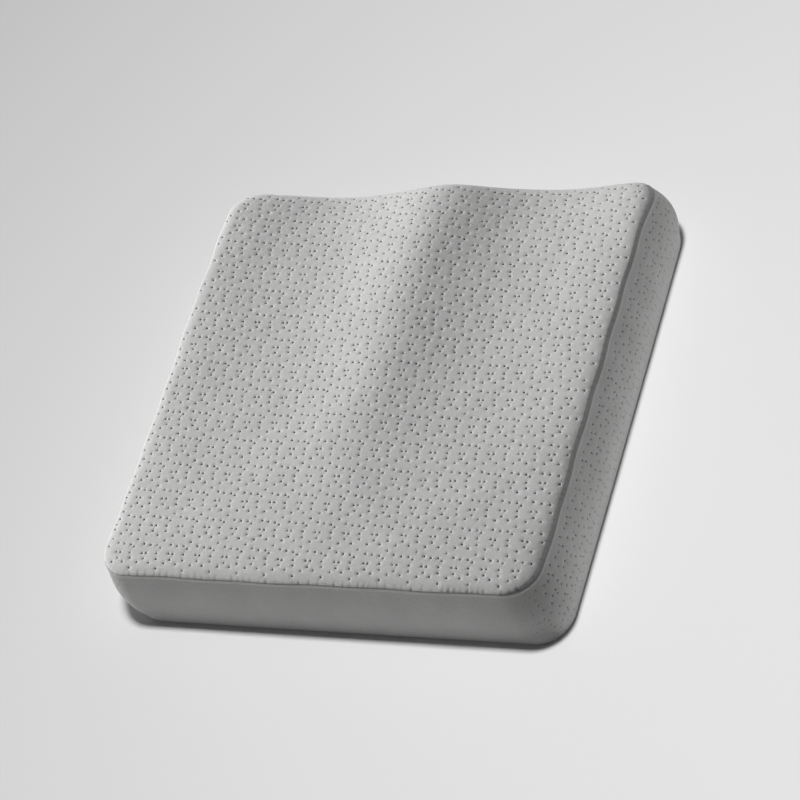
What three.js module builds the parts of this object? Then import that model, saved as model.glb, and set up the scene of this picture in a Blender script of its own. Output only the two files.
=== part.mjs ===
// Memory foam seat cushion, lying on its back
// Millimetres, Z up. X runs across the seat, +Y is the contoured front edge, the base is at Z 0.
import * as THREE from 'three';

// Overall size
const WIDTH = 450;
const DEPTH = 449;
const LEVEL_HEIGHT = 85.9;

// Plan corners, measured at the widest line of the band, and the slight bow of each side
const CORNER_RADIUS = 34;
const SIDE_BOW = 0.5;

// Sewn panels, each a sheet with a small gap to the filled body
const TOP_SHEET = 2.2;
const BASE_SHEET = 2.0;
const GAP = 0.35;

// Side band: how far the base edge and the top seam are drawn in from the widest line
const BASE_DRAW_IN = 6.6;
const SEAM_DRAW_IN = 8.3;
const BASE_ROUNDING = 5.5;

// Crown of the face toward its edge, and the tighter shoulder down to the seam
const CROWN_WIDTH = 45;
const CROWN_DROP = 3.2;
const SHOULDER_WIDTH = 14;
const SHOULDER_DROP = 3.4;
const SHOULDER_POWER = 2.2;

// Contour of the face: a centre ridge between two leg troughs that deepen toward the front edge
const TROUGH_DEPTH = 14.25;
const TROUGH_START = 0.12;
const TROUGH_POWER = 1.21;
const RIDGE_WIDTH = 33.4;
const RIDGE_WIDENING = 11.3;
const RISE_START = 0.45;
const RISE_SPAN = 0.52;
const RISE_POWER = 1.15;
const SIDE_RISE = 1.12;

// Roll of the face down toward the front edge
const FRONT_ROLL_DROP = 10.2;
const FRONT_ROLL_START = 0.8;

// Mesh density
const SIDE_SEGMENTS = 18;
const CORNER_SEGMENTS = 6;
const FACE_RINGS = [1, 0.985, 0.965, 0.94, 0.9, 0.82, 0.7, 0.56, 0.4, 0.22];
const FLAT_RINGS = [1, 0.55];
const BAND_STEPS = 9;

function clamp01(value) {
  return Math.min(1, Math.max(0, value));
}

// Face level before the edges are taken down. The ridge keeps its height toward the front edge,
// while the floor of the troughs falls away and the sides rise again.
function faceLevel(x, y) {
  const toFront = clamp01(y / DEPTH + 0.5);
  const growth = Math.pow(clamp01((toFront - TROUGH_START) / (1 - TROUGH_START)), TROUGH_POWER);
  const ridgeWidth = RIDGE_WIDTH + RIDGE_WIDENING * toFront;
  const ridge = Math.exp(-0.5 * Math.pow(x / ridgeWidth, 2));
  const outward = clamp01((Math.abs(x) / (WIDTH / 2) - RISE_START) / RISE_SPAN);
  const side = SIDE_RISE * Math.pow(outward, RISE_POWER);
  const roll = clamp01((toFront - FRONT_ROLL_START) / (1 - FRONT_ROLL_START));
  return LEVEL_HEIGHT - TROUGH_DEPTH * growth * (1 - ridge - side) - FRONT_ROLL_DROP * roll * roll;
}

// Share by which a side bows outward at a place along it
function bowFactor(along, half, halfAlong) {
  const share = Math.min(1, Math.abs(along) / halfAlong);
  return 1 + (SIDE_BOW / half) * (1 - share * share);
}

// Distance from a point to the rounded outline, positive inside
function insetFrom(x, y, halfX, halfY, radius) {
  const cornerX = Math.abs(x) - (halfX - radius);
  const cornerY = Math.abs(y) - (halfY - radius);
  const outside = Math.hypot(Math.max(cornerX, 0), Math.max(cornerY, 0));
  const within = Math.min(Math.max(cornerX, cornerY), 0);
  return radius - outside - within;
}

// Height of the sewn face: the contour with its crown and its shoulder falling to the seam
function faceHeight(x, y) {
  const halfX = WIDTH / 2 - SIDE_BOW - SEAM_DRAW_IN;
  const halfY = DEPTH / 2 - SIDE_BOW - SEAM_DRAW_IN;
  const straightX = x / bowFactor(y, halfX, halfY);
  const straightY = y / bowFactor(x, halfY, halfX);
  const inset = insetFrom(straightX, straightY, halfX, halfY, CORNER_RADIUS - SEAM_DRAW_IN / 2);
  const crown = CROWN_DROP * Math.pow(1 - clamp01(inset / CROWN_WIDTH), 2);
  const rest = 1 - clamp01(inset / SHOULDER_WIDTH);
  return faceLevel(x, y) - crown - SHOULDER_DROP * Math.pow(rest, SHOULDER_POWER);
}

// One closed outline with rounded corners, the same number of points at every size
function outline(halfX, halfY, radius) {
  const corners = [
    { signX: 1, signY: -1, start: -Math.PI / 2 },
    { signX: 1, signY: 1, start: 0 },
    { signX: -1, signY: 1, start: Math.PI / 2 },
    { signX: -1, signY: -1, start: Math.PI },
  ];
  const points = [];
  corners.forEach((corner, index) => {
    const centreX = corner.signX * (halfX - radius);
    const centreY = corner.signY * (halfY - radius);
    for (let step = 0; step <= CORNER_SEGMENTS; step += 1) {
      const angle = corner.start + (step / CORNER_SEGMENTS) * (Math.PI / 2);
      points.push([centreX + radius * Math.cos(angle), centreY + radius * Math.sin(angle)]);
    }
    const from = points[points.length - 1];
    const next = corners[(index + 1) % corners.length];
    const nextAngle = next.start;
    const to = [
      next.signX * (halfX - radius) + radius * Math.cos(nextAngle),
      next.signY * (halfY - radius) + radius * Math.sin(nextAngle),
    ];
    for (let step = 1; step < SIDE_SEGMENTS; step += 1) {
      const t = step / SIDE_SEGMENTS;
      points.push([from[0] + (to[0] - from[0]) * t, from[1] + (to[1] - from[1]) * t]);
    }
  });
  return points.map(([x, y]) => [x * bowFactor(y, halfX, halfY), y * bowFactor(x, halfY, halfX)]);
}

// A closed skin of rings from the centre of the underside, up the wall, to the centre of the top.
// Quads split the same way on facing skins, so that the gap between two pieces stays even.
function skin(rings, bottomCentre, topCentre) {
  const positions = [];
  const indices = [];
  const count = rings[0].length;
  positions.push(...bottomCentre);
  rings.forEach((ring) => {
    ring.forEach((point) => {
      positions.push(...point);
    });
  });
  positions.push(...topCentre);
  const last = rings.length * count + 1;
  for (let i = 0; i < count; i += 1) {
    const next = (i + 1) % count;
    indices.push(0, 1 + next, 1 + i);
    for (let ring = 0; ring < rings.length - 1; ring += 1) {
      const low = 1 + ring * count;
      const high = low + count;
      const inward = Math.abs(rings[ring + 1][0][0]) < Math.abs(rings[ring][0][0]);
      if (inward) {
        indices.push(low + i, low + next, high + i);
        indices.push(low + next, high + next, high + i);
      } else {
        indices.push(low + i, low + next, high + next);
        indices.push(low + i, high + next, high + i);
      }
    }
    const top = 1 + (rings.length - 1) * count;
    indices.push(top + i, top + next, last);
  }
  const geometry = new THREE.BufferGeometry();
  geometry.setAttribute('position', new THREE.Float32BufferAttribute(positions, 3));
  geometry.setIndex(indices);
  geometry.computeVertexNormals();
  return geometry;
}

function scaled(points, factor, height) {
  return points.map(([x, y]) => {
    const px = x * factor;
    const py = y * factor;
    return [px, py, height(px, py)];
  });
}

// Drawn-in distance of the wall at a share of its height, bulging between base edge and seam
function bandOffset(share) {
  const straight = BASE_DRAW_IN + (SEAM_DRAW_IN - BASE_DRAW_IN) * share;
  return straight - BASE_DRAW_IN * Math.sin(Math.PI * share);
}

// Drawn-in distance of the lower edge where it rounds under
function underOffset(height) {
  const share = 1 - height / BASE_ROUNDING;
  return BASE_DRAW_IN + BASE_ROUNDING * (1 - Math.sqrt(1 - share * share));
}

function wallOutline(offset) {
  const halfX = WIDTH / 2 - SIDE_BOW - offset;
  const halfY = DEPTH / 2 - SIDE_BOW - offset;
  return outline(halfX, halfY, CORNER_RADIUS - offset / 2);
}

function addMesh(group, name, geometry, color) {
  const material = new THREE.MeshStandardMaterial({ color, roughness: 0.95, metalness: 0 });
  material.name = name;
  const mesh = new THREE.Mesh(geometry, material);
  mesh.name = name;
  group.add(mesh);
}

const seam = wallOutline(SEAM_DRAW_IN);
const group = new THREE.Group();
group.name = 'memory_foam_seat_cushion';

// Top panel: a thin sheet that follows the contour down to the seam
const panelUnder = [...FACE_RINGS].reverse();
const topRings = [
  ...panelUnder.map((factor) => scaled(seam, factor, (x, y) => faceHeight(x, y) - TOP_SHEET)),
  ...FACE_RINGS.map((factor) => scaled(seam, factor, faceHeight)),
];
const centreHeight = faceHeight(0, 0);
addMesh(
  group,
  'top_panel',
  skin(topRings, [0, 0, centreHeight - TOP_SHEET], [0, 0, centreHeight]),
  0xbdbdbb,
);

// Filled body: its wall is the side band, its top follows the underside of the top panel
const bodyTop = (x, y) => faceHeight(x, y) - TOP_SHEET - GAP;
const bodyBase = BASE_SHEET + GAP;
const bodyRings = [...FLAT_RINGS].reverse().map((factor) => {
  return scaled(wallOutline(underOffset(bodyBase)), factor, () => bodyBase);
});
for (let step = 0; step <= BAND_STEPS; step += 1) {
  const share = step / BAND_STEPS;
  const offset = step === BAND_STEPS ? SEAM_DRAW_IN : bandOffset(share);
  const wall = wallOutline(offset);
  bodyRings.push(wall.map(([x, y], index) => {
    const top = bodyTop(seam[index][0], seam[index][1]);
    return [x, y, BASE_ROUNDING + (top - BASE_ROUNDING) * share];
  }));
}
FACE_RINGS.slice(1).forEach((factor) => {
  bodyRings.push(scaled(seam, factor, bodyTop));
});
addMesh(
  group,
  'foam_body',
  skin(bodyRings, [0, 0, bodyBase], [0, 0, bodyTop(0, 0)]),
  0xa9a9a8,
);

// Base panel: a flat sheet under the body, rounded up at its edge
const baseRings = [
  ...[...FLAT_RINGS].reverse().map((factor) => scaled(wallOutline(underOffset(0)), factor, () => 0)),
  scaled(wallOutline(underOffset(BASE_SHEET / 3)), 1, () => BASE_SHEET / 3),
  ...FLAT_RINGS.map((factor) => {
    return scaled(wallOutline(underOffset(BASE_SHEET)), factor, () => BASE_SHEET);
  }),
];
addMesh(group, 'base_panel', skin(baseRings, [0, 0, 0], [0, 0, BASE_SHEET]), 0x8f8f8e);

export default group;
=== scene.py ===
# %% [markdown]
# # A contoured foam seat cushion in a dotted knit cover
# The cushion is three sewn pieces over foam: a top panel that follows the contour, a side band with
# the filling behind it, and a plain base panel. This lesson makes each one as a closed mesh, so that
# every hollow, seam and pinhole that shows is real geometry. The material gives the yarn, and it also
# paints shade into the pinholes and seams and a highlight on the fold under the top seam.

# %% Load the frame
import math

import bmesh
import bpy
import numpy as np
from mathutils import Matrix
from mathutils.geometry import delaunay_2d_cdt


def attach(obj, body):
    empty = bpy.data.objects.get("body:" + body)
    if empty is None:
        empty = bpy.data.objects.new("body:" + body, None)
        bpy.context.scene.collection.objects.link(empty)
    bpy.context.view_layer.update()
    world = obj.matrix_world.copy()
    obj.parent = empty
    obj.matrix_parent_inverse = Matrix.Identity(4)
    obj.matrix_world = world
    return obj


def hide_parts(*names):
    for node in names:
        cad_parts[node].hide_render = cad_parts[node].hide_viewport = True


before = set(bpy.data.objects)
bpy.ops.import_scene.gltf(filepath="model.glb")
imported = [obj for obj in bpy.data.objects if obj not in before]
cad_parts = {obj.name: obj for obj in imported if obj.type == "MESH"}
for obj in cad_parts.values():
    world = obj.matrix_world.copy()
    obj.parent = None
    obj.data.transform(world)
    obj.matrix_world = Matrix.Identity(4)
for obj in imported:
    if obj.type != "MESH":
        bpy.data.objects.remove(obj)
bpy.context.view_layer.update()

MM = 0.001

# %% [markdown]
# ## The camera
# The picture was taken with a long lens, a little to the right of the near side and well above the
# cushion. The place was solved from the outline, the top seam and the regular dots, so the matrix is
# written out: its columns are the camera's right, up and backward directions.

# %% Camera
FOCAL_PIXELS = 2786.3
PICTURE_PIXELS = 800
SENSOR = 36.0

camera_data = bpy.data.cameras.new("camera")
camera_data.sensor_width = SENSOR
camera_data.lens = FOCAL_PIXELS / PICTURE_PIXELS * SENSOR
camera_data.clip_end = 50.0
camera = bpy.data.objects.new("camera", camera_data)
bpy.context.collection.objects.link(camera)
camera.matrix_world = Matrix((
    (0.87101, -0.01312, 0.49110, 1.2335),
    (0.27811, 0.83720, -0.47089, -1.1769),
    (-0.40497, 0.54673, 0.73286, 1.8698),
    (0.0, 0.0, 0.0, 1.0),
))
bpy.context.scene.camera = camera
print("lens, mm:", round(camera_data.lens, 1))

# %% [markdown]
# ## The size and the contour
# The driving sizes are those of the solids, in millimetres, and the finer ones follow the shading of
# the picture. The face is flat near the straight edge. Toward the front edge a ridge stands up between
# two leg troughs that grow deeper, and the last part rolls down. One short function gives the height
# of any place, and every piece that lies on the face uses it, so that they all fit one another.

# %% Sizes and contour
WIDTH = 450.0
DEPTH = 449.0
LEVEL_HEIGHT = 85.9
CORNER_RADIUS = 34.0
SIDE_BOW = 0.5
BASE_DRAW_IN = 6.6
SEAM_DRAW_IN = 8.3
BASE_ROUNDING = 1.4
# The crown of the face, and the shoulder down to the seam, which is deeper at the front edge
CROWN_WIDTH = 45.0
CROWN_DROP = 1.6
SHOULDER_WIDTH = 13.0
SHOULDER_DROP = 1.5
SHOULDER_POWER = 2.2
FRONT_SHOULDER_DROP = 2.6
FRONT_SHOULDER_START = 140.0
FRONT_SHOULDER_SPAN = 70.0
# The troughs, which start at a share of the way from the near edge to the front one
TROUGH_DEPTH = 14.25
TROUGH_START = 0.12
TROUGH_POWER = 0.96
# The ridge, with a slightly sharper crest on it
RIDGE_SHIFT = 2.7
RIDGE_WIDTH = 32.0
RIDGE_WIDENING = 10.6
RIDGE_SHARE = 0.96
CREST_WIDTH = 18.0
CREST_SHARE = 0.045
# The rise of the face toward its sides, in shares of half the width
RISE_START = 0.53
RISE_SPAN = 0.44
RISE_SOFTNESS = 0.36
RISE_LIMIT = 1.05
RISE_POWER = 1.15
# How high each side rises, as a share of the depth of the troughs
LEFT_RISE = 1.0
RIGHT_RISE = 1.25
# The roll down to the front edge, less at the left corner and more at the right one
FRONT_ROLL = 10.2
FRONT_ROLL_START = 0.8
CORNER_ROLL_START = 0.55
CORNER_ROLL_SPAN = 0.4
LEFT_CORNER_ROLL = -0.35
RIGHT_CORNER_ROLL = 0.55


def ramp(value, start, span, limit=1.0):
    """Nothing up to the start, then rising evenly to one over the span, and on to the limit."""
    return np.clip((value - start) / span, 0, limit)


def smooth(value, start, span):
    """From nothing to one over the span, without a corner."""
    t = ramp(value, start, span)
    return t * t * (3 - 2 * t)


def hump(value, centre, reach):
    """One at the centre, fading to nothing on both sides."""
    return np.exp(-((value - centre) / reach) ** 2)


def soft_ramp(value, width):
    """Level, then a straight slope, with a curve of the given width between them."""
    share = np.clip(value / width + 0.5, 0, 1)
    return width * share * share / 2 + np.maximum(value - width / 2, 0)


def face_level(x, y):
    """The ridge keeps its height toward the front while the floor of the troughs falls away."""
    to_front = np.clip(y / DEPTH + 0.5, 0, 1)
    growth = ramp(to_front, TROUGH_START, 1 - TROUGH_START) ** TROUGH_POWER
    ridge_width = RIDGE_WIDTH + RIDGE_WIDENING * to_front
    ridge = RIDGE_SHARE * np.exp(-0.5 * ((x - RIDGE_SHIFT) / ridge_width) ** 2)
    ridge += CREST_SHARE * np.exp(-0.5 * ((x - RIDGE_SHIFT) / CREST_WIDTH) ** 2)
    across = np.abs(x) / (WIDTH / 2)
    outward = np.minimum(soft_ramp(across - RISE_START, RISE_SOFTNESS) / RISE_SPAN, RISE_LIMIT)
    side = np.where(x < 0, LEFT_RISE, RIGHT_RISE) * outward ** RISE_POWER
    corner = ramp(across, CORNER_ROLL_START, CORNER_ROLL_SPAN)
    corner_roll = 1 + np.where(x < 0, LEFT_CORNER_ROLL, RIGHT_CORNER_ROLL) * corner
    roll = ramp(to_front, FRONT_ROLL_START, 1 - FRONT_ROLL_START) ** 2 * corner_roll
    return LEVEL_HEIGHT - TROUGH_DEPTH * growth * (1 - ridge - side) - FRONT_ROLL * roll


def bow(along, half, half_along):
    """How much wider than straight a side is at a place along it, as a factor."""
    share = np.minimum(1, np.abs(along) / half_along)
    return 1 + SIDE_BOW / half * (1 - share * share)


def seam_inset(x, y):
    """Distance inward from the top seam."""
    half_x = WIDTH / 2 - SIDE_BOW - SEAM_DRAW_IN
    half_y = DEPTH / 2 - SIDE_BOW - SEAM_DRAW_IN
    radius = CORNER_RADIUS - SEAM_DRAW_IN / 2
    from_x = np.abs(x / bow(y, half_x, half_y)) - (half_x - radius)
    from_y = np.abs(y / bow(x, half_y, half_x)) - (half_y - radius)
    outside = np.hypot(np.maximum(from_x, 0), np.maximum(from_y, 0))
    return radius - outside - np.minimum(np.maximum(from_x, from_y), 0)


def face_height(x, y):
    inset = np.maximum(seam_inset(x, y), 0)
    crown = CROWN_DROP * np.clip(1 - inset / CROWN_WIDTH, 0, 1) ** 2
    drop = SHOULDER_DROP + FRONT_SHOULDER_DROP * ramp(y, FRONT_SHOULDER_START, FRONT_SHOULDER_SPAN)
    shoulder = drop * np.clip(1 - inset / SHOULDER_WIDTH, 0, 1) ** SHOULDER_POWER
    return face_level(x, y) - crown - shoulder


print("ridge, trough and side at the front:", face_level(np.array([0.0, 110.0, 210.0]), 200.0).round(1))

# %% [markdown]
# ## Going round the edge
# The seam, the band and the base edge all run round the same rounded square, each drawn in by its
# own amount. A place on any of them is found from one number, the distance walked round the widest
# line. The walk starts at the front edge, out of sight, where the band's ends would be joined.

# %% Outline
HALF_X = WIDTH / 2 - SIDE_BOW
HALF_Y = DEPTH / 2 - SIDE_BOW
ARC = CORNER_RADIUS * math.pi / 2
SIDE_X = 2 * (HALF_X - CORNER_RADIUS)
SIDE_Y = 2 * (HALF_Y - CORNER_RADIUS)
# Each corner: its signs in X and Y, and the angle where its arc starts
CORNERS = ((-1, 1, 90.0), (-1, -1, 180.0), (1, -1, 270.0), (1, 1, 0.0))
LENGTHS = np.array([SIDE_X, ARC, SIDE_Y, ARC, SIDE_X, ARC, SIDE_Y, ARC])
STARTS = np.concatenate([[0], np.cumsum(LENGTHS)])
ROUND = STARTS[-1]


def on_outline(walked, draw_in):
    """The plan place at a distance walked round, on the line drawn in by draw_in."""
    walked = np.mod(walked, ROUND)
    draw_in = np.broadcast_to(draw_in, walked.shape)
    half_x = HALF_X - draw_in
    half_y = HALF_Y - draw_in
    radius = CORNER_RADIUS - draw_in / 2
    part = np.clip(np.searchsorted(STARTS, walked, side="right") - 1, 0, 7)
    share = (walked - STARTS[part]) / LENGTHS[part]
    x = np.zeros(walked.shape)
    y = np.zeros(walked.shape)
    for index, (sign_x, sign_y, start) in enumerate(CORNERS):
        before_x, before_y, before_start = CORNERS[index - 1]
        end = math.radians(before_start + 90.0)
        begin = math.radians(start)
        on_side = part == 2 * index
        on_arc = part == 2 * index + 1
        angle = begin + share * math.pi / 2
        arc_x = sign_x * (half_x - radius) + radius * np.cos(angle)
        arc_y = sign_y * (half_y - radius) + radius * np.sin(angle)
        from_x = before_x * (half_x - radius) + radius * math.cos(end)
        from_y = before_y * (half_y - radius) + radius * math.sin(end)
        to_x = sign_x * (half_x - radius) + radius * math.cos(begin)
        to_y = sign_y * (half_y - radius) + radius * math.sin(begin)
        x = np.where(on_side, from_x + (to_x - from_x) * share, np.where(on_arc, arc_x, x))
        y = np.where(on_side, from_y + (to_y - from_y) * share, np.where(on_arc, arc_y, y))
    return x * bow(y, half_x, half_y), y * bow(x, half_y, half_x)


print("distance round the widest line, mm:", round(float(ROUND)))

# %% [markdown]
# ## How it sits
# No sewn cushion is quite square. The top leans a little over the right side, the left side bulges
# midway and is tucked in nearer the straight edge, the left front corner sits out, the front edge
# runs askew, and the seam wanders by a fraction of a millimetre. Every piece passes through this one
# function at the end, so they all move together.

# %% Unevenness
# How far each change moves a place at its full length, in millimetres
RIGHT_LEAN = 3.1
LEFT_TUCK = 1.8
LEFT_BULGE = 1.3
LEFT_SPREAD = 2.8
LEFT_CORNER_OUT = 3.0
RIGHT_CORNER_BACK = 1.3
RIGHT_SLACK = 0.8
FRONT_SKEW = 2.0
# Where each change begins, outward from the middle, and the length over which it grows
LEFT_HALF = (0.0, 180.0)
FRONT_HALF = (0.0, 190.0)
BAND_HEIGHT = (8.0, 60.0)
RIGHT_EDGE = (170.0, 47.0)
LEFT_EDGE = (175.0, 42.0)
TUCK_END = (-60.0, 200.0)
OUTER_RIM = (202.0, 14.0)
LEFT_CORNER_ACROSS = (170.0, 45.0)
LEFT_CORNER_ALONG = (120.0, 80.0)
RIGHT_CORNER_ACROSS = (90.0, 60.0)
RIGHT_CORNER_ALONG = (70.0, 60.0)
# The middle and the reach of the slack and bulging places
MIDWAY = (50.0, 90.0)
SLACK_ACROSS = (125.0, 45.0)
# How far a growing change goes on past its full length
PAST_EDGE = 1.2
PAST_HALF = 1.3
LEFT_POWER = 1.5
# Waves along the seam: size, length and start
SIDE_WAVES = ((0.45, 9.0, 0.4), (0.35, 21.0, 1.7))
END_WAVES = ((0.3, 12.0, 0.9), (0.25, 27.0, 0.0))


def waves(table, along):
    return sum(size * np.sin(along / length + start) for size, length, start in table)


def settle(points):
    """The places of the pieces' points on the cushion as it really sits."""
    x, y, z = points.T
    left = ramp(-x, *LEFT_HALF, PAST_HALF) ** LEFT_POWER
    front = ramp(y, *FRONT_HALF, PAST_HALF)
    high = ramp(z, *BAND_HEIGHT)
    midway = hump(y, *MIDWAY)
    lean = RIGHT_LEAN * ramp(x, *RIGHT_EDGE, PAST_EDGE) ** 2
    lean += LEFT_TUCK * (1 - ramp(y, *TUCK_END)) * ramp(-x, *LEFT_EDGE, PAST_EDGE) ** 2
    lean -= LEFT_BULGE * left ** 2 * midway
    lean -= LEFT_CORNER_OUT * smooth(-x, *LEFT_CORNER_ACROSS) * smooth(y, *LEFT_CORNER_ALONG)
    lean += RIGHT_SLACK * hump(x, *SLACK_ACROSS) * midway
    at_side = high ** 3 * ramp(np.abs(x), *OUTER_RIM)
    at_end = high ** 3 * ramp(np.abs(y), *OUTER_RIM)
    moved_x = x - LEFT_SPREAD * front * left + high * lean + waves(SIDE_WAVES, y) * at_side
    moved_y = y + FRONT_SKEW * x / LEFT_HALF[1] * front ** 2 + waves(END_WAVES, x) * at_end
    moved_y -= RIGHT_CORNER_BACK * smooth(x, *RIGHT_CORNER_ACROSS) * smooth(y, *RIGHT_CORNER_ALONG)
    return np.stack([moved_x, moved_y, z], axis=1)


corner = settle(np.array([[-HALF_X, HALF_Y, LEVEL_HEIGHT]]))[0]
print("the left front corner moves by, mm:", (corner[:2] + [HALF_X, -HALF_Y]).round(1))

# %% [markdown]
# ## The dotted repeat
# The knit has pinholes in a repeat of about 28 mm, twelve to a repeat. The places were read from the
# picture and are given as shares of the repeat. On the face the repeat runs with the sides.
# The band is a strip cut across the cloth, so there the repeat is turned by a quarter.

# %% Repeat
REPEAT_ACROSS = 28.45
REPEAT_ALONG = 27.88
# One row for each pinhole: its share across, and its share toward the near edge
PINHOLES = np.array([
    (-0.075, 0.0), (0.075, 0.0), (0.035, 0.205), (-0.15, 0.35),
    (0.28, 0.34), (0.475, 0.0), (0.52, 0.20), (0.607, 0.535),
    (-0.105, -0.33), (0.14, -0.29), (0.39, -0.28), (0.545, -0.205),
])
FIRST_PAIR = (-169.8, 1.0)
PLACE_ERROR = 0.18
SPARE_REPEATS = 9
# How far the sewn top panel is drawn out of its repeat, in millimetres, and where
FRONT_WIDENING = 1.2
WIDENING_ACROSS = 185.0
WIDENING_ALONG = 165.0
FRONT_SHIFT = 0.4
SHIFT_ALONG = 150.0
LEFT_PULL = 0.7
LEFT_PULL_START = (60.0, 60.0)
LEFT_PULL_MIDDLE = (30.0, 110.0)
MIDDLE_SLACK = 0.7
SLACK_MIDDLE = (-60.0, 70.0)
RIGHT_SLIP = 0.5
RIGHT_SLIP_START = (0.0, 60.0)
RIGHT_SLIP_MIDDLE = (40.0, 70.0)
NEAR_TUCK = 0.6
NEAR_TUCK_START = (150.0, 40.0)

rng = np.random.default_rng(11)


def repeat_places(first, reach_across, reach_along):
    """Every pinhole of the repeat inside a rectangle about the middle, each a little off its place."""
    count_across = int(reach_across * 2 / REPEAT_ACROSS) + SPARE_REPEATS
    count_along = int(reach_along * 2 / REPEAT_ALONG) + SPARE_REPEATS
    columns = np.repeat(np.arange(-count_across, count_across), 2 * count_along)
    rows = np.tile(np.arange(-count_along, count_along), 2 * count_across)
    across = first[0] + REPEAT_ACROSS * (columns[:, None] + PINHOLES[:, 0])
    along = first[1] - REPEAT_ALONG * (rows[:, None] + PINHOLES[:, 1])
    places = np.stack([across.ravel(), along.ravel()], axis=1)
    inside = (np.abs(places[:, 0]) < reach_across) & (np.abs(places[:, 1]) < reach_along)
    places = places[inside]
    return places + rng.normal(0, PLACE_ERROR, places.shape)


def drawn(places):
    """The top panel was drawn wider toward the front when it was sewn, and is slack midway."""
    x, y = places.T
    moved_x = x + FRONT_WIDENING * x / WIDENING_ACROSS * y / WIDENING_ALONG
    moved_x += FRONT_SHIFT * y / SHIFT_ALONG
    moved_x -= LEFT_PULL * smooth(-x, *LEFT_PULL_START) * hump(y, *LEFT_PULL_MIDDLE)
    moved_y = y + MIDDLE_SLACK * hump(y, *SLACK_MIDDLE)
    moved_y += RIGHT_SLIP * smooth(x, *RIGHT_SLIP_START) * hump(y, *RIGHT_SLIP_MIDDLE)
    moved_y -= NEAR_TUCK * ramp(-y, *NEAR_TUCK_START)
    return np.stack([moved_x, moved_y], axis=1)


print("pinholes in a 100 mm square:", len(repeat_places((0, 0), 50, 50)))

# %% [markdown]
# ## Cutting cloth into triangles
# A pinhole is only two millimetres wide, so an even grid fine enough for it would be far too heavy.
# Instead each pinhole gets its own rings of points, the cloth between gets a loose scatter, and a
# Delaunay triangulation joins them. It works in the flat, as the cloth was cut, and the flat points
# are then lifted to their places on the cushion. Where a border is nearly straight, the triangulation
# leaves thin slivers outside it. They are peeled off from the outside, so that each piece can close.

# %% Triangulation
# The rings of a pinhole: radius in mm, and number of points
HOLE_RINGS = ((0.0, 1), (0.62, 6), (0.95, 8), (1.45, 9))
HOLE_DEPTH = 1.35
DIMPLE_REACH = 0.8
# The painted shade inside a pinhole ends here, over a soft edge
HOLE_EDGE = 0.95
HOLE_SOFTNESS = 0.33
# Points this near a pinhole are left out, and a point of plain cloth counts as this far away
CLEAR_OF_HOLE = 2.0
NO_HOLE = 9.0
# A scatter's rows are closer than its columns, and each point is a little off its place
ROW_SHARE = 0.87
LOOSENESS = 0.12
SAME_PLACE = 1e-5
# More points than any piece has, and how many are compared at a time
MOST_POINTS = 10 ** 9
BATCH = 2000


def hole_points(places):
    """Rings of flat points at each pinhole, with the distance of each point from its centre."""
    flat = []
    away = []
    owner = []
    for radius, count in HOLE_RINGS:
        turn = rng.uniform(0, 2 * math.pi, len(places))
        for step in range(count):
            angle = turn + 2 * math.pi * step / count
            flat.append(places + radius * np.stack([np.cos(angle), np.sin(angle)], axis=1))
            away.append(np.full(len(places), radius))
            owner.append(np.arange(len(places)))
    return np.concatenate(flat), np.concatenate(away), np.concatenate(owner)


def dimple_depth(away, strength):
    return strength * HOLE_DEPTH * hump(away, 0.0, DIMPLE_REACH)


def pinhole_shade_paint(away, strength):
    """How much of the painted shade inside a pinhole each point shows."""
    return np.clip(strength, 0, 1) * np.clip((HOLE_EDGE - away) / HOLE_SOFTNESS, 0, 1)


def scatter(low, high, spacing):
    """A loose staggered grid of flat points."""
    across = np.arange(low[0] + spacing / 2, high[0], spacing)
    along = np.arange(low[1] + spacing / 2, high[1], spacing * ROW_SHARE)
    grid_x, grid_y = np.meshgrid(across, along)
    grid_x = grid_x + (np.arange(len(along)) % 2)[:, None] * spacing / 2
    places = np.stack([grid_x.ravel(), grid_y.ravel()], axis=1)
    return places + rng.uniform(-LOOSENESS, LOOSENESS, places.shape) * spacing


def clear_of(points, others, distance):
    """Which points are further than a distance from every other one."""
    keep = np.ones(len(points), bool)
    for start in range(0, len(points), BATCH):
        part = points[start:start + BATCH]
        gap = ((part[:, None, :] - others[None, :, :]) ** 2).sum(axis=2).min(axis=1)
        keep[start:start + BATCH] = gap > distance * distance
    return keep


def edge_keys(pairs):
    """One number for each pair of point numbers, the same in both directions."""
    pairs = np.sort(pairs.astype(np.int64), axis=1)
    return pairs[:, 0] * MOST_POINTS + pairs[:, 1]


def without_slivers(triangles, border):
    """The triangles without those that have a loose edge off the border, however deep they lie."""
    border_keys = edge_keys(np.stack([border, np.roll(border, -1)], axis=1))
    while True:
        corners = np.stack([triangles, np.roll(triangles, -1, axis=1)], axis=2)
        keys = edge_keys(corners.reshape(-1, 2))
        place, count = np.unique(keys, return_inverse=True, return_counts=True)[1:]
        loose_edge = (count[place.ravel()] == 1) & ~np.isin(keys, border_keys)
        stray = loose_edge.reshape(-1, 3).any(axis=1)
        if not stray.any():
            return triangles
        triangles = triangles[~stray]


def triangulate(flat, border):
    """Triangles that join flat points inside the closed border, given as point numbers."""
    edges = [(int(a), int(b)) for a, b in zip(border, np.roll(border, -1))]
    made = delaunay_2d_cdt([tuple(map(float, p)) for p in flat], edges, [], 1, SAME_PLACE, True)
    assert len(made[0]) == len(flat), "the triangulation merged or added points"
    source = np.array([owners[0] for owners in made[3]])
    return without_slivers(source[np.array(made[2])], border)


print("points at a pinhole:", sum(count for radius, count in HOLE_RINGS))

# %% [markdown]
# ## Puckers
# A sewn edge is never quite even: the cloth is held in a little between stitches. The depth of these
# small gathers is worked out once, as a list of notches round the seam, and both the top panel and
# the band use it.

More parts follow.
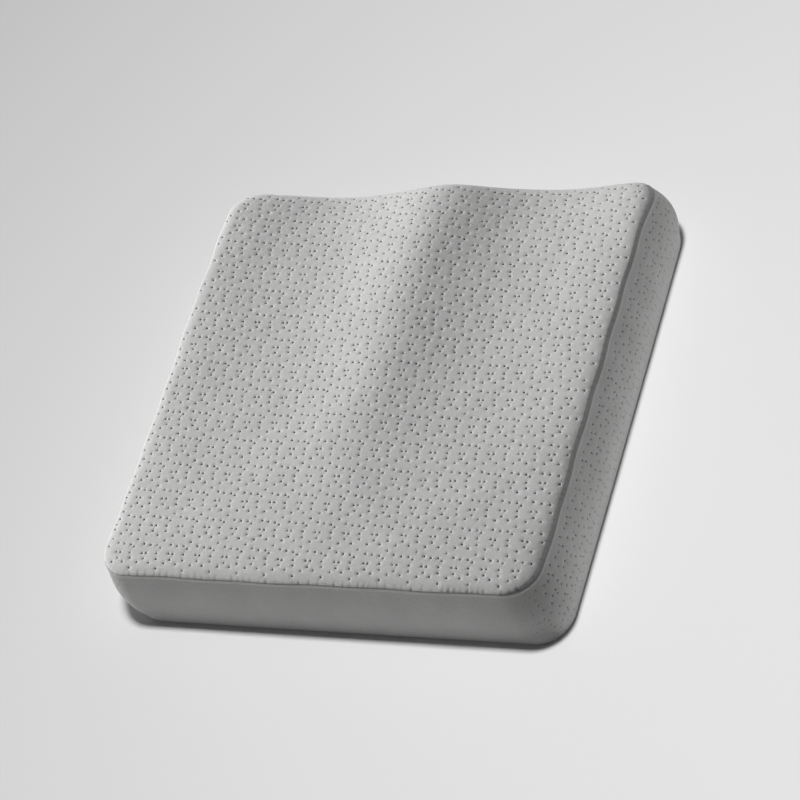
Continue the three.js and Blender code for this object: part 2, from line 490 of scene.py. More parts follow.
# %% Puckers
# The least and the most: gaps and widths in millimetres, depths as shares of the deepest
NOTCH_GAPS = (4.5, 10.5)
NOTCH_DEPTHS = (0.3, 1.0)
NOTCH_WIDTHS = (0.7, 1.2)
MOST_NOTCHES = 400
NOTCH_END = 6.0
PUCKER_STEP = 0.5
notch_places = np.cumsum(rng.uniform(*NOTCH_GAPS, MOST_NOTCHES))
notch_places = notch_places[notch_places < ROUND - NOTCH_END]
notch_depths = rng.uniform(*NOTCH_DEPTHS, len(notch_places))
notch_widths = rng.uniform(*NOTCH_WIDTHS, len(notch_places))
pucker_walk = np.arange(0, ROUND + PUCKER_STEP, PUCKER_STEP)
pucker_table = np.zeros(len(pucker_walk))
for place, depth, width in zip(notch_places, notch_depths, notch_widths):
    pucker_table += depth * hump(pucker_walk, place, width)


def pucker(walked):
    """The depth of the gathers at a distance walked round, as a share of the deepest."""
    return np.interp(np.mod(walked, ROUND), pucker_walk, pucker_table)


print("notches round the seam:", len(notch_places))

# %% [markdown]
# ## From points to an object
# Each piece is made of the same things: points, triangles, how much of a pinhole or a seam each point
# is, and where it lies on the flat cloth. The last is what the weave follows, in millimetres.

# %% Mesh helper
WALK_STEP = 1.5


def make_piece(name, points, triangles, hole, seam, cloth):
    """A smooth closed mesh object with the cloth's own measures stored on its points."""
    mesh = bpy.data.meshes.new(name)
    mesh.from_pydata((settle(points) * MM).tolist(), [], triangles.tolist())
    mesh.update()
    for label, values in (("hole", hole), ("seam", seam)):
        attribute = mesh.attributes.new(label, "FLOAT", "POINT")
        attribute.data.foreach_set("value", np.asarray(values, dtype=np.float32))
    attribute = mesh.attributes.new("cloth", "FLOAT_VECTOR", "POINT")
    flat = np.zeros((len(points), 3), dtype=np.float32)
    flat[:, :2] = cloth
    attribute.data.foreach_set("vector", flat.ravel())
    piece = bpy.data.objects.new(name, mesh)
    bpy.context.collection.objects.link(piece)
    shaped = bmesh.new()
    shaped.from_mesh(mesh)
    bmesh.ops.recalc_face_normals(shaped, faces=shaped.faces)
    open_edges = sum(1 for edge in shaped.edges if len(edge.link_faces) != 2)
    shaped.to_mesh(mesh)
    shaped.free()
    mesh.polygons.foreach_set("use_smooth", np.ones(len(mesh.polygons), bool))
    print(name, len(mesh.polygons), "triangles,", open_edges, "open edges")
    return piece


def walk_of(x, y, draw_in):
    """The distance walked round that is nearest to each plan place."""
    walk = np.arange(0, ROUND, WALK_STEP)
    line = np.stack(on_outline(walk, draw_in), axis=1)
    places = np.stack([x, y], axis=1)
    nearest = np.zeros(len(places))
    for start in range(0, len(places), BATCH):
        part = places[start:start + BATCH]
        gap = ((part[:, None, :] - line[None, :, :]) ** 2).sum(axis=2)
        nearest[start:start + BATCH] = walk[gap.argmin(axis=1)]
    return nearest


print("places compared round the outline:", int(ROUND / WALK_STEP) + 1)

# %% [markdown]
# ## The top panel
# This is one piece of cloth over the contoured face, about 2 mm thick. It curls down into the seam
# all round, with small gathers. Its pinholes could be drawn by a bump texture, but the picture shows
# light catching their rims, so they are real dimples. The underside is hidden, so it follows the face
# with far fewer points.

# %% Top panel
TOP_SHEET = 2.2
RIM_STEP = 1.0
RIM_INSETS = (0.5, 1.2, 2.2)
RIM_TO_HOLE = 1.75
RIM_TO_CLOTH = 1.2
CLOTH_SPACING = 3.7
FACE_STRENGTHS = (0.65, 1.15)
# The curl of the edge and the gathers
CURL_DROP = 0.8
CURL_WIDTH = 0.95
PUCKER_REACH = 2.8
PUCKER_DEPTH = 0.35
# Low waves of the foam: size, length across, length along
SLOW_WAVES = (0.22, 31.0, 37.0)
QUICK_WAVES = (0.1, 17.0, 23.0)
SLOW_STARTS = (0.7, 0.4)
QUICK_START = 1.1
# How dark the seam is painted, as painted shade: its line, its gathers, and a soft band on the near
# side
NEAR_STRIP = (195.0, 15.0)
LINE_SHADE = 0.25
LINE_LOSS = 0.2
LINE_REACH = 0.6
GATHER_SHADE = 0.45
GATHER_GAIN = 0.5
GATHER_REACH = 2.6
GATHER_SPREAD = 0.8
NEAR_STRIP_SHADE = 0.13
NEAR_STRIP_SHADE_REACH = 9.0


def unevenness(x, y):
    """Long low waves, as foam under a loose cover has."""
    slow_size, slow_across, slow_along = SLOW_WAVES
    quick_size, quick_across, quick_along = QUICK_WAVES
    slow = np.sin(x / slow_across + SLOW_STARTS[0]) * np.cos(y / slow_along + SLOW_STARTS[1])
    quick = np.sin(x / quick_across - y / quick_along + QUICK_START)
    return slow_size * slow + quick_size * quick


def top_height(x, y, inset, walked):
    curl = CURL_DROP * hump(inset, 0.0, CURL_WIDTH)
    gather = PUCKER_DEPTH * pucker(walked) * hump(inset, 0.0, PUCKER_REACH)
    return face_height(x, y) + unevenness(x, y) - curl - gather


rim_walk = np.arange(0, ROUND - RIM_STEP / 2, RIM_STEP)
rim = np.stack(on_outline(rim_walk, SEAM_DRAW_IN), axis=1)
rim_rings = [
    np.stack(on_outline(rim_walk + RIM_STEP * (index % 2) / 2, SEAM_DRAW_IN + inset), axis=1)
    for index, inset in enumerate(RIM_INSETS, start=1)
]
face_places = drawn(repeat_places(FIRST_PAIR, WIDTH / 2, DEPTH / 2))
inner_ring = RIM_INSETS[-1]
face_places = face_places[seam_inset(*face_places.T) > inner_ring + RIM_TO_HOLE]
face_holes, face_away, face_owner = hole_points(face_places)
loose = scatter((-WIDTH / 2, -DEPTH / 2), (WIDTH / 2, DEPTH / 2), CLOTH_SPACING)
loose = loose[seam_inset(*loose.T) > inner_ring + RIM_TO_CLOTH]
loose = loose[clear_of(loose, face_places, CLEAR_OF_HOLE)]
flat = np.concatenate([rim, *rim_rings, face_holes, loose])
upper = triangulate(flat, np.arange(len(rim)))

away = np.full(len(flat), NO_HOLE)
strength = np.ones(len(flat))
first_hole = len(rim) * (1 + len(RIM_INSETS))
hole_slice = slice(first_hole, first_hole + len(face_holes))
away[hole_slice] = face_away
strength[hole_slice] = rng.uniform(*FACE_STRENGTHS, len(face_places))[face_owner]
inset = np.maximum(seam_inset(*flat.T), 0)
walked = np.zeros(len(flat))
edge_zone = inset < 3 * PUCKER_REACH
walked[edge_zone] = walk_of(flat[edge_zone, 0], flat[edge_zone, 1], SEAM_DRAW_IN)
height = top_height(flat[:, 0], flat[:, 1], inset, walked) - dimple_depth(away, strength)
# Painted shade inside the pinholes
hole = pinhole_shade_paint(away, strength)
# Painted shade along the seam: a thin line, darker gathers, and a soft band inside the near edge
near_strip = smooth(-flat[:, 1], *NEAR_STRIP)
gather_fade = hump(inset, 0.0, GATHER_REACH + GATHER_SPREAD * near_strip)
gathered = (GATHER_SHADE + GATHER_GAIN * near_strip) * pucker(walked) * gather_fade
seam_line_shade = (LINE_SHADE - LINE_LOSS * near_strip) * hump(inset, 0.0, LINE_REACH)
near_strip_shade = NEAR_STRIP_SHADE * near_strip * hump(inset, 0.0, NEAR_STRIP_SHADE_REACH)
seam = np.clip(seam_line_shade + gathered + near_strip_shade, 0, 1)
top_points = np.column_stack([flat, height])
print("points on the face:", len(flat), "pinholes:", len(face_places))

# %% [markdown]
# The underside is cut from the same rim, so the two skins close on one another without a gap.

# %% Top panel, underside and object
UNDER_SPACING = 11.0
UNDER_CLEAR = 4.0
UNDER_LIFT = 0.2
RIM_SHEET = 0.35
under_loose = scatter((-WIDTH / 2, -DEPTH / 2), (WIDTH / 2, DEPTH / 2), UNDER_SPACING)
under_loose = under_loose[seam_inset(*under_loose.T) > UNDER_CLEAR]
under_flat = np.concatenate([rim, under_loose])
under_height = face_height(*under_flat.T) + UNDER_LIFT - TOP_SHEET
under_height[:len(rim)] = top_points[:len(rim), 2] - RIM_SHEET
lower = triangulate(under_flat, np.arange(len(rim)))[:, ::-1] + len(flat)


def stitch(first, second):
    """Triangles of the wall between two rings of the same count."""
    first_next = np.roll(first, -1)
    second_next = np.roll(second, -1)
    return np.concatenate([
        np.stack([first, second, first_next], axis=1),
        np.stack([second, second_next, first_next], axis=1),
    ])


wall = stitch(np.arange(len(rim)), np.arange(len(rim)) + len(flat))
# The hidden underside is painted with the full seam shade
top_panel = make_piece(
    "top_panel_cover",
    np.concatenate([top_points, np.column_stack([under_flat, under_height])]),
    np.concatenate([upper, lower, wall]),
    np.concatenate([hole, np.zeros(len(under_flat))]),
    np.concatenate([seam, np.ones(len(under_flat))]),
    np.concatenate([flat, under_flat]),
)

# %% [markdown]
# ## The side band and the filling
# The band is a strip sewn to both panels. It bulges a little, is pulled in at the seams, and has a
# thin roll just under the top seam, where the folded edge of the cloth pushes out. It is flattened
# for cutting: one way is the distance walked round, the other the share of its height. Cloth could be
# simulated here, but a cover drawn tight over firm foam hardly drapes, so the profile is written out.
# The near side shows its pinholes only faintly, so they are shallow there.

# %% Band profile
BAND_LOW = 2.35
BAND_FLAT_HEIGHT = 80.0
PANEL_GAP = 0.35
# The groove at the top seam, which the near side lacks
GROOVE_IN = 0.5
GROOVE_REACH = 0.8
# The folded roll under it, which stands out more along the near side and lies a little higher there
ROLL_OUT = 1.3
ROLL_DOWN = 1.8
ROLL_REACH = 0.8
ROLL_SHARE = 0.4
NEAR_ROLL_SHARE = 0.8
NEAR_ROLL_LIFT = 0.5
# The small roll over the base seam
BASE_ROLL_OUT = 0.5
BASE_ROLL_UP = 2.2
BASE_ROLL_REACH = 1.0
# How the near side begins and ends round its corners, and how far its pinholes fade
NEAR_CORNER = 20.0
NEAR_CORNER_SPAN = 18.0
LEFT_END_SPAN = 30.0
NEAR_FADE = 0.72


def band_top(walked):
    """Height of the band's top edge, just under the rim of the top panel."""
    x, y = on_outline(walked, SEAM_DRAW_IN)
    gathered = PUCKER_DEPTH * pucker(walked)
    return face_height(x, y) + unevenness(x, y) - CURL_DROP - gathered - RIM_SHEET - PANEL_GAP


def roll_middle(near):
    """How far the middle of the folded roll lies below the band's top edge."""
    return ROLL_DOWN - NEAR_ROLL_LIFT * near


def band_draw_in(z, top, near):
    """How far the band stands in from the widest line, at a height and a share of near side."""
    share = np.clip((z - BASE_ROUNDING) / (top - BASE_ROUNDING), 0, 1)
    straight = BASE_DRAW_IN + (SEAM_DRAW_IN - BASE_DRAW_IN) * share
    bulged = straight - BASE_DRAW_IN * np.sin(math.pi * share)
    under = np.clip(1 - z / BASE_ROUNDING, 0, 1)
    rounded = BASE_ROUNDING * (1 - np.sqrt(1 - under * under))
    down = top - z
    groove = GROOVE_IN * (1 - near) * hump(down, 0.0, GROOVE_REACH)
    roll = ROLL_OUT * (ROLL_SHARE + NEAR_ROLL_SHARE * near) * hump(down, roll_middle(near), ROLL_REACH)
    base_roll = BASE_ROLL_OUT * hump(z, BAND_LOW + BASE_ROLL_UP, BASE_ROLL_REACH)
    return bulged + rounded + groove - roll - base_roll


def near_share(walked):
    """One along the near side, and nothing along the others."""
    x, y = on_outline(walked, 0.0)
    return smooth(-y, HALF_Y - NEAR_CORNER, NEAR_CORNER_SPAN) * smooth(x, -HALF_X, LEFT_END_SPAN)


middles = np.array([STARTS[4], STARTS[0]]) + SIDE_X / 2
print("band height at the near side and the front, mm:", (band_top(middles) - BAND_LOW).round(1))

# %% [markdown]
# The band closes on itself where the walk starts. The cut strip therefore has the same points on its
# two ends, and those of the far end are swapped for those of the first.

# %% Band mesh
BAND_STEP = 2.2
# Rows of points down from the top edge and up from the lower one, in the flat
ROWS_DOWN = (0.0, 0.6, 1.2, 1.8, 2.6, 3.6, 5.0)
ROWS_UP = (0.0, 0.7, 1.5, 2.4, 3.6)
# The turned repeat: its first pair, its reach, the height of its middle and the spare at its ends
BAND_PAIR = (13.0, 9.0)
BAND_REACH = 45.0
BAND_MIDDLE = 43.0
BAND_SPARE = 5.0
# Pinholes keep this clear of the strip's ends, its top edge and its lower edge
ENDS_CLEAR = 2.5
TOP_CLEAR = 6.6
LOW_CLEAR = 5.5
BAND_STRENGTHS = (0.55, 1.0)
# The loose scatter between: its margins at the start, the far end, the lower edge and the top
BAND_SPACING = 3.5
LOOSE_START = 2.0
LOOSE_END = 3.4
LOOSE_LOW = 4.6
LOOSE_TOP = 5.6
BAND_CLEAR_OF_HOLE = 2.15
# Points up the two ends of the strip
END_LOW = 6.5
END_TOP = 7.0
END_SPACING = 3.2
steps_round = int(ROUND / BAND_STEP)
edge_walk = np.linspace(0, ROUND, steps_round + 1)


def to_flat(walked, z):
    share = (z - BAND_LOW) / (band_top(walked) - BAND_LOW)
    return np.stack([walked, share * BAND_FLAT_HEIGHT], axis=1)


def from_flat(places):
    return BAND_LOW + places[:, 1] / BAND_FLAT_HEIGHT * (band_top(places[:, 0]) - BAND_LOW)


row_flats = [BAND_FLAT_HEIGHT - down for down in ROWS_DOWN] + list(ROWS_UP)
rows = [np.stack([edge_walk, np.full(len(edge_walk), value)], axis=1) for value in row_flats]
turned = repeat_places(BAND_PAIR, BAND_REACH, ROUND / 2 + BAND_SPARE)
band_places = np.stack([turned[:, 1] + ROUND / 2, turned[:, 0] + BAND_MIDDLE], axis=1)
inside_ends = (band_places[:, 0] > ENDS_CLEAR) & (band_places[:, 0] < ROUND - ENDS_CLEAR)
band_places = band_places[inside_ends]
low_enough = band_places[:, 1] < band_top(band_places[:, 0]) - TOP_CLEAR
band_places = band_places[low_enough & (band_places[:, 1] > BAND_LOW + LOW_CLEAR)]
band_holes, band_away, band_owner = hole_points(band_places)
band_holes = to_flat(*band_holes.T)
band_centres = to_flat(*band_places.T)
band_loose = scatter(
    (LOOSE_START, LOOSE_LOW), (ROUND - LOOSE_END, BAND_FLAT_HEIGHT - LOOSE_TOP), BAND_SPACING)
band_loose = band_loose[clear_of(band_loose, band_centres, BAND_CLEAR_OF_HOLE)]
ends = np.arange(END_LOW, BAND_FLAT_HEIGHT - END_TOP, END_SPACING)
end_points = np.concatenate([
    np.stack([np.zeros(len(ends)), ends], axis=1),
    np.stack([np.full(len(ends), ROUND), ends], axis=1),
])
band_flat = np.concatenate([*rows, end_points, band_holes, band_loose])
row_length = len(edge_walk)
top_row = np.arange(row_length)
low_row = np.arange(row_length) + len(ROWS_DOWN) * row_length
side_numbers = np.nonzero(np.isin(band_flat[:, 0], (0.0, ROUND)))[0]
order = np.argsort(band_flat[side_numbers, 1])
side_numbers = side_numbers[order]
first_side = side_numbers[band_flat[side_numbers, 0] == 0.0]
last_side = side_numbers[band_flat[side_numbers, 0] != 0.0]
border = np.concatenate([low_row, last_side[1:-1], top_row[::-1], first_side[::-1][1:-1]])
band_triangles = triangulate(band_flat, border)
swap = np.arange(len(band_flat))
swap[last_side] = first_side
band_triangles = swap[band_triangles]
print("triangles in the strip:", len(band_triangles))

# %% [markdown]
# The flat strip is lifted to its place and painted. Paint above nought darkens, as painted shade: in
# the groove, at the foot of the near side, and round the near right corner. Paint below nought makes
# paler, as a painted highlight on the fold of the roll.

# %% Band points and paint
# How strong each painted shade and highlight is and how far it reaches. The roll's highlight is
# stronger and wider on the near side
FOLD_HIGHLIGHT = 0.1
NEAR_FOLD_HIGHLIGHT = 0.9
FOLD_HIGHLIGHT_REACH = 0.7
NEAR_FOLD_HIGHLIGHT_REACH = 0.3
GROOVE_SHADE = 0.1
NEAR_FOOT_SHADE = 0.9
NEAR_FOOT_SHADE_HEIGHT = 30.0
CORNER_SHADE = 0.4
CORNER_SHADE_REACH = 40.0
band_hole_away = np.full(len(band_flat), NO_HOLE)
band_strength = np.ones(len(band_flat))
first_hole = len(row_flats) * row_length + len(end_points)
hole_slice = slice(first_hole, first_hole + len(band_holes))
band_hole_away[hole_slice] = band_away
# Along the near side the pinholes are shallower and their painted shade is weaker
clearness = 1 - NEAR_FADE * near_share(band_places[:, 0])
hole_strength = rng.uniform(*BAND_STRENGTHS, len(band_places)) * clearness
band_strength[hole_slice] = hole_strength[band_owner]
band_walk = band_flat[:, 0]
band_z = from_flat(band_flat)
near = near_share(band_walk)
band_dimple = dimple_depth(band_hole_away, band_strength)
drawn_in = band_draw_in(band_z, band_top(band_walk), near)
band_x, band_y = on_outline(band_walk, drawn_in + band_dimple)
band_points = np.column_stack([band_x, band_y, band_z])
band_hole = pinhole_shade_paint(band_hole_away, band_strength)
band_down = band_top(band_walk) - band_z
fold_highlight_fade = hump(band_down, roll_middle(near), FOLD_HIGHLIGHT_REACH + NEAR_FOLD_HIGHLIGHT_REACH * near)
# Painted shade in the groove under the top seam
band_shade_and_highlight = GROOVE_SHADE * (1 - near) * hump(band_down, 0.0, GROOVE_REACH)
# Painted highlight on the fold of the roll, as paint below nought
band_shade_and_highlight -= (FOLD_HIGHLIGHT + NEAR_FOLD_HIGHLIGHT * near) * fold_highlight_fade
# Painted shade, darker toward the foot of the near side
band_shade_and_highlight += NEAR_FOOT_SHADE * near * hump(band_z, BAND_LOW, NEAR_FOOT_SHADE_HEIGHT)
# Painted shade round the near right corner
band_shade_and_highlight += CORNER_SHADE * hump(band_walk, STARTS[5] + ARC / 2, CORNER_SHADE_REACH)
print("points on the band:", len(band_flat), "pinholes:", len(band_places))

# %% [markdown]
# The filled body is the band closed by two plain skins. The upper one lies just under the top panel,
# and the lower one just over the base panel.

# %% Filled body
BODY_EDGE_DROP = 0.6
BODY_EDGE_REACH = 6.0
ring_top = top_row[:-1]
ring_low = low_row[:-1]


def closing_skin(ring_points, height_of, spacing, clear):
    """Loose points and triangles that close a ring, with the ring's points numbered first."""
    ring_flat = ring_points[:, :2]
    fill = scatter((-WIDTH / 2, -DEPTH / 2), (WIDTH / 2, DEPTH / 2), spacing)
    fill = fill[seam_inset(*fill.T) > clear]
    made = triangulate(np.concatenate([ring_flat, fill]), np.arange(len(ring_flat)))
    return np.column_stack([fill, height_of(*fill.T)]), made


def body_top(x, y):
    edge_drop = BODY_EDGE_DROP * hump(np.maximum(seam_inset(x, y), 0), 0.0, BODY_EDGE_REACH)
    return face_height(x, y) + UNDER_LIFT - TOP_SHEET - PANEL_GAP - edge_drop


def level(z):
    """A height function that is the same everywhere."""
    return lambda x, y: np.full(len(x), z)


top_fill, top_made = closing_skin(band_points[ring_top], body_top, spacing=12.0, clear=8.0)
low_fill, low_made = closing_skin(band_points[ring_low], level(BAND_LOW), spacing=30.0, clear=16.0)


def renumber(made, ring, offset):
    """Numbers of a closing skin's triangles among all the body's points."""
    table = np.concatenate([ring, offset + np.arange(made.max() + 1)])
    return table[made]


body_points = np.concatenate([band_points, top_fill, low_fill])
body_triangles = np.concatenate([
    band_triangles,
    renumber(top_made, ring_top, len(band_points)),
    renumber(low_made, ring_low, len(band_points) + len(top_fill))[:, ::-1],
])
used = np.unique(body_triangles)
compact = np.zeros(len(body_points), int)
compact[used] = np.arange(len(used))
plain = len(top_fill) + len(low_fill)
cushion_body = make_piece(
    "cushion_body",
    body_points[used],
    compact[body_triangles],
    np.concatenate([band_hole, np.zeros(plain)])[used],
    np.concatenate([np.clip(band_shade_and_highlight, -1, 1), np.zeros(plain)])[used],
    np.concatenate([
        np.column_stack([band_z, band_flat[:, 0]]),
        top_fill[:, :2],
        low_fill[:, :2],
    ])[used],
)

# %% [markdown]
# ## The base panel
# The piece underneath doesn't show in the picture, so it is finished plainly: a flat sheet of closely
# woven cloth, rounded up a little at its edge where it is sewn to the band.

# %% Base panel
BASE_SHEET = 2.0
BASE_LEVELS = (0.0, 0.35, 0.9, 1.6, BASE_SHEET)
BASE_LINE_STEP = 3.0
base_walk = np.arange(0, ROUND - BASE_LINE_STEP / 2, BASE_LINE_STEP)


def base_draw_in(z):
    """The edge rounds out from the underside, and turns in again above its rounding."""
    under = 1 - z / BASE_ROUNDING
    return BASE_DRAW_IN + BASE_ROUNDING * (1 - math.sqrt(1 - under * under))


base_rings = []
for z in BASE_LEVELS:
    ring = np.column_stack([*on_outline(base_walk, base_draw_in(z)), np.full(len(base_walk), z)])
    base_rings.append(ring)
count = len(base_walk)
under_fill, under_made = closing_skin(base_rings[0], level(0.0), spacing=9.0, clear=9.0)
over_fill, over_made = closing_skin(base_rings[-1], level(BASE_SHEET), spacing=30.0, clear=16.0)
base_points = np.concatenate([*base_rings, under_fill, over_fill])
ring_numbers = [np.arange(count) + count * index for index in range(len(base_rings))]
base_walls = [stitch(low, high) for low, high in zip(ring_numbers, ring_numbers[1:])]
base_triangles = np.concatenate([
    *base_walls,
    renumber(under_made, ring_numbers[0], len(base_rings) * count)[:, ::-1],
    renumber(over_made, ring_numbers[-1], len(base_rings) * count + len(under_fill)),
])
base_panel = make_piece(
    "base_panel_cover",
    base_points,
    base_triangles,
    np.zeros(len(base_points)),
    np.zeros(len(base_points)),
    base_points[:, :2],
)

# %% [markdown]
# ## Writing materials as sums
# A node material is easier to read as arithmetic. This small class holds one socket. Adding or
# multiplying two of them makes the Math node that does it, and any other node comes from one method.

# %% Node arithmetic
YARN_HEIGHT = 0.0004


class Strand:
    """One socket of a material, to be used in plain expressions."""

    def __init__(self, tree, socket):
        self.tree = tree
        self.socket = socket

    @classmethod
    def node(cls, tree, kind, settings=None, sockets=None, output=0):
        """Any node: its settings first, then the values or links of its sockets."""
        made = tree.nodes.new(kind)
        for name, setting in (settings or {}).items():
            setattr(made, name, setting)
        for name, given in (sockets or {}).items():
            if isinstance(given, cls):
                tree.links.new(given.socket, made.inputs[name])
            else:
                made.inputs[name].default_value = given
        return cls(tree, made.outputs[output])

    def math(self, operation, *others):
        sockets = dict(enumerate((self, *others)))
        return Strand.node(self.tree, "ShaderNodeMath", {"operation": operation}, sockets)

    def __add__(self, other):
        return self.math("ADD", other)

    def __mul__(self, other):
        return self.math("MULTIPLY", other)

    def __sub__(self, other):
        return self.math("SUBTRACT", other)

    def __truediv__(self, other):
        return self.math("DIVIDE", other)

    __radd__ = __add__
    __rmul__ = __mul__

    def __rsub__(self, other):
        return (self * -1.0) + other

    def clamp(self):
        settings = {"operation": "ADD", "use_clamp": True}
        return Strand.node(self.tree, "ShaderNodeMath", settings, {0: self, 1: 0.0})

    def tooth(self):
        """Zero at whole numbers and one half way between them."""
        return 1.0 - (self.math("FRACT") * 2.0 - 1.0).math("ABSOLUTE")

    def mix(self, low, high):
        """A colour from low to high, by this share."""
        settings = {"data_type": "RGBA", "blend_type": "MIX"}
        return Strand.node(
            self.tree, "ShaderNodeMix", settings, {0: self, 6: low, 7: high}, output=2)


def new_material(name, **constants):
    """A material with its shader's fixed values set on the shader itself."""
    material = bpy.data.materials.new(name)
    material.use_nodes = True
    shader = material.node_tree.nodes["Principled BSDF"]
    for socket, value in constants.items():
        shader.inputs[socket.replace("_", " ")].default_value = value
    return material, material.node_tree, shader


def measure(tree, name, output):
    """One of the measures stored on a piece's points: output 1 is a vector and 2 a number."""
    settings = {"attribute_type": "GEOMETRY", "attribute_name": name}
    return Strand.node(tree, "ShaderNodeAttribute", settings, output=output)


def cloth_measures(tree):
    """The place on the flat cloth, as a whole, across and along."""
    cloth = measure(tree, "cloth", 1)
    across = Strand.node(tree, "ShaderNodeSeparateXYZ", None, {0: cloth})
    along = Strand(tree, across.socket.node.outputs[1])
    return cloth, across, along


def cloth_noise(cloth, scale, detail):
    sockets = {"Vector": cloth, "Scale": scale, "Detail": detail}
    return Strand.node(cloth.tree, "ShaderNodeTexNoise", None, sockets)


def finish_cloth(tree, shader, colour, relief, strength):
    """Links a colour and a bumpy surface to the shader."""
    bump = Strand.node(
        tree, "ShaderNodeBump", None,
        {"Strength": strength, "Distance": YARN_HEIGHT, "Height": relief})
    tree.links.new(colour.socket, shader.inputs["Base Color"])
    tree.links.new(bump.socket, shader.inputs["Normal"])


print("yarn height, mm:", YARN_HEIGHT / MM)

# %% [markdown]
# ## The knit
# The cover is a fine grey jersey: columns of small V-shaped loops, about a millimetre wide. Modelled
# loops would take millions of triangles, and from here they only roughen the light. So two teeth
# waves on the cloth's own measures give the columns and the loops, for the bump and a slight change
# of tone. Slow noise makes the dye a little uneven and quick noise roughens the yarn. The pinholes
# and the seam are painted darker, as painted shade in these hollows, and the fold of the band's roll
# is painted paler, as a painted highlight.

# %% Knit material
COLUMN = 1.05
LOOP = 0.8
FOLD_HIGHLIGHT_COLOUR = (0.85, 0.85, 0.84, 1)


def knit_material(name, light, dark, pit_shade):
    material, tree, shader = new_material(
        name, Roughness=0.92, Sheen_Weight=0.25, Sheen_Roughness=0.45, Specular_IOR_Level=0.2)
    cloth, across, along = cloth_measures(tree)
    column = (across / COLUMN).tooth()
    loop = (along / LOOP + column * 0.5).tooth()
    slow = cloth_noise(cloth, 0.03, 3.0)
    quick = cloth_noise(cloth, 0.9, 2.0)
    relief = column * 0.5 + loop * 0.35 + quick * 0.8
    tone = (slow * 0.7 + quick * 1.6 + loop * 0.1 + column * 0.1 - 0.75).clamp()
    yarn = tone.mix(dark, light)
    hole = measure(tree, "hole", 2).clamp()
    seam = measure(tree, "seam", 2)
    # Seam paint above nought is painted shade, and below nought a painted highlight
    fold = (seam * -1.0).clamp()
    shaded = (seam * 0.6).clamp().mix(yarn, pit_shade)
    folded = (fold * 0.75).mix(shaded, FOLD_HIGHLIGHT_COLOUR)
    colour = (hole * hole).mix(folded, pit_shade)
    finish_cloth(tree, shader, colour, relief, 0.5)
    rough = 0.86 + tone * 0.12
    tree.links.new(rough.socket, shader.inputs["Roughness"])
    print(name, len(tree.nodes), "nodes")
    return material


# Each knit's pit colour is the painted shade inside its pinholes
face_knit = knit_material(
    "face_knit",
    light=(0.62, 0.62, 0.615, 1),
    dark=(0.47, 0.47, 0.465, 1),
    pit_shade=(0.012, 0.012, 0.012, 1),
)
band_knit = knit_material(
    "band_knit",
    light=(0.60, 0.60, 0.595, 1),
    dark=(0.45, 0.45, 0.445, 1),
    pit_shade=(0.03, 0.03, 0.03, 1),
)
top_panel.data.materials.append(face_knit)
cushion_body.data.materials.append(band_knit)

# %% [markdown]
# The base cloth is a plain weave: threads that pass over and under in turn. Two teeth waves again
# give the threads, and two more, twice as long, say which set is on top.

# %% Base material
THREAD = 0.9


def woven_material(name, light, dark):
    material, tree, shader = new_material(
        name, Roughness=0.95, Sheen_Weight=0.15, Specular_IOR_Level=0.2)
    cloth, across, along = cloth_measures(tree)
    warp = (across / THREAD).tooth() * (along / (2 * THREAD)).tooth()
    weft = (along / THREAD).tooth() * (across / (2 * THREAD) + 0.5).tooth()
    slow = cloth_noise(cloth, 0.04, 3.0)
    relief = warp + weft
    tone = (relief * 0.35 + slow * 0.5).clamp()
    finish_cloth(tree, shader, tone.mix(dark, light), relief, 0.4)
    return material


base_weave = woven_material(
    "base_weave", light=(0.58, 0.58, 0.575, 1), dark=(0.42, 0.42, 0.415, 1))
base_panel.data.materials.append(base_weave)
print("base_weave", len(base_weave.node_tree.nodes), "nodes")

# %% [markdown]
# ## Carrying the pieces
# Each piece is hung from the root body, and the solid that it stands for is hidden.

# %% Carrying the pieces
for piece, node, finish in (
    (top_panel, "top_panel", "dotted_knit"),
    (cushion_body, "foam_body", "band_knit"),
    (base_panel, "base_panel", "base_fabric"),
):
    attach(piece, "root")
    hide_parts(node)

# %% [markdown]
# ## Floor and light
# The floor is plain and pale. One large lamp stands low on the left and rakes across the face, so the
# ridge and the troughs read and the near side falls into soft shade. As in a studio, the lamps are
# flagged. A weaker lamp in the same place lights the sides alone, and so does a faint one at the near
# side. Two weak lamps, above and on the right, lift the whole cushion. A small one overhead lights
# the floor alone and draws the shadow close under the cushion. An even pale sky does the rest.

# %% Floor and light
FLOOR_HALF = 8.0
FLOOR_Z = -0.0004
FLOOR_COLOUR = (0.8, 0.8, 0.8, 1)
SKY_STRENGTH = 0.07
KEY_PLACE = (-3.7, 0.25, 1.45)
CUSHION_MIDDLE = (0, 0, 0.05)
BAND_MIDDLE_PLACE = (0, 0, 0.04)
floor_mesh = bpy.data.meshes.new("floor")
floor_corners = [(-1, -1), (1, -1), (1, 1), (-1, 1)]
floor_mesh.from_pydata(
    [(FLOOR_HALF * x, FLOOR_HALF * y, FLOOR_Z) for x, y in floor_corners], [], [(0, 1, 2, 3)])
floor = bpy.data.objects.new("floor", floor_mesh)
bpy.context.collection.objects.link(floor)
floor_paint, floor_tree, floor_shader = new_material("floor_paint", Roughness=0.7)
floor_shader.inputs["Base Color"].default_value = FLOOR_COLOUR
floor_mesh.materials.append(floor_paint)

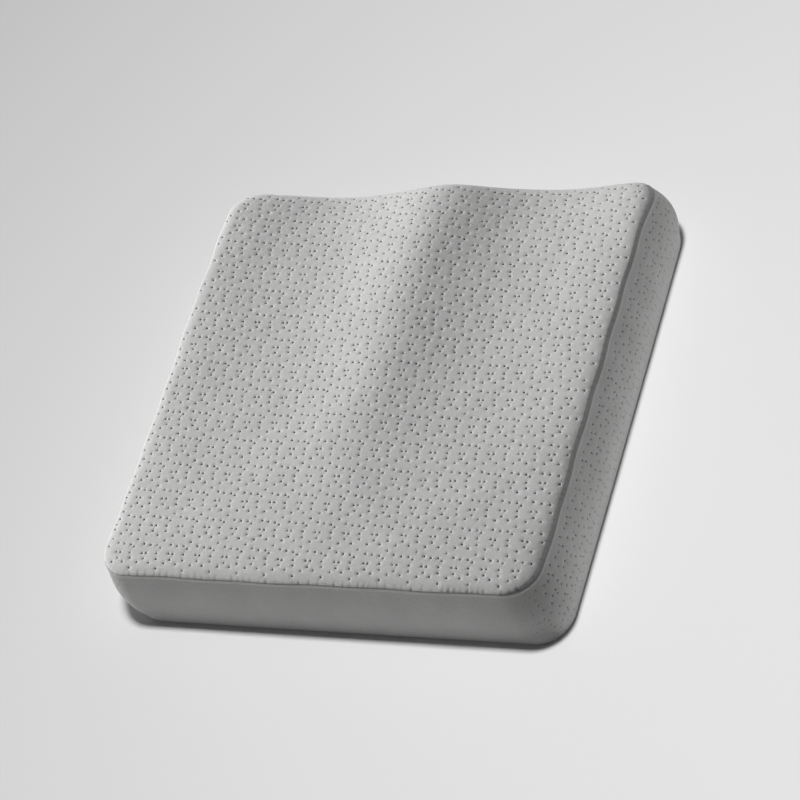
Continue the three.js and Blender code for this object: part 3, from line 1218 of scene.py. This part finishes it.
lit_cushion = bpy.data.collections.new("lit_cushion")
for piece in (top_panel, cushion_body, base_panel):
    lit_cushion.objects.link(piece)
lit_face = bpy.data.collections.new("lit_face")
lit_face.objects.link(top_panel)
lit_sides = bpy.data.collections.new("lit_sides")
lit_sides.objects.link(cushion_body)
lit_sides.objects.link(base_panel)
lit_floor = bpy.data.collections.new("lit_floor")
lit_floor.objects.link(floor)


def soft_lamp(name, place, target, size, power, lights_only=None):
    """A square lamp that faces its target, and may be flagged so that it lights one group only."""
    data = bpy.data.lights.new(name, "AREA")
    data.shape = "SQUARE"
    data.size = size
    data.energy = power
    lamp = bpy.data.objects.new(name, data)
    bpy.context.collection.objects.link(lamp)
    away = np.array(target, float) - np.array(place, float)
    away /= np.linalg.norm(away)
    side = np.cross(away, (0.0, 1.0, 0.0))
    side /= np.linalg.norm(side)
    up = np.cross(side, away)
    lamp.matrix_world = Matrix((
        (side[0], up[0], -away[0], place[0]),
        (side[1], up[1], -away[1], place[1]),
        (side[2], up[2], -away[2], place[2]),
        (0, 0, 0, 1),
    ))
    if lights_only is not None:
        lamp.light_linking.receiver_collection = lights_only
    return lamp


soft_lamp("key_lamp", KEY_PLACE, CUSHION_MIDDLE, 1.6, 285, lit_face)
soft_lamp("side_lamp", KEY_PLACE, CUSHION_MIDDLE, 1.6, 105, lit_sides)
soft_lamp("near_lamp", (-2.0, -2.2, 0.9), BAND_MIDDLE_PLACE, 1.2, 6, lit_sides)
soft_lamp("top_lamp", (-0.8, 1.3, 2.8), CUSHION_MIDDLE, 1.6, 16, lit_cushion)
soft_lamp("right_lamp", (2.4, 2.0, 0.4), BAND_MIDDLE_PLACE, 1.0, 10, lit_cushion)
soft_lamp("floor_lamp", (0.7, -0.16, 3.0), (0, 0, 0), 0.4, 82, lit_floor)
world = bpy.data.worlds.new("even_sky")
world.use_nodes = True
sky = world.node_tree.nodes["Background"]
sky.inputs["Color"].default_value = (1, 1, 1, 1)
sky.inputs["Strength"].default_value = SKY_STRENGTH
bpy.context.scene.world = world
bpy.context.scene.view_settings.view_transform = "Standard"
print("six lamps and a pale sky")
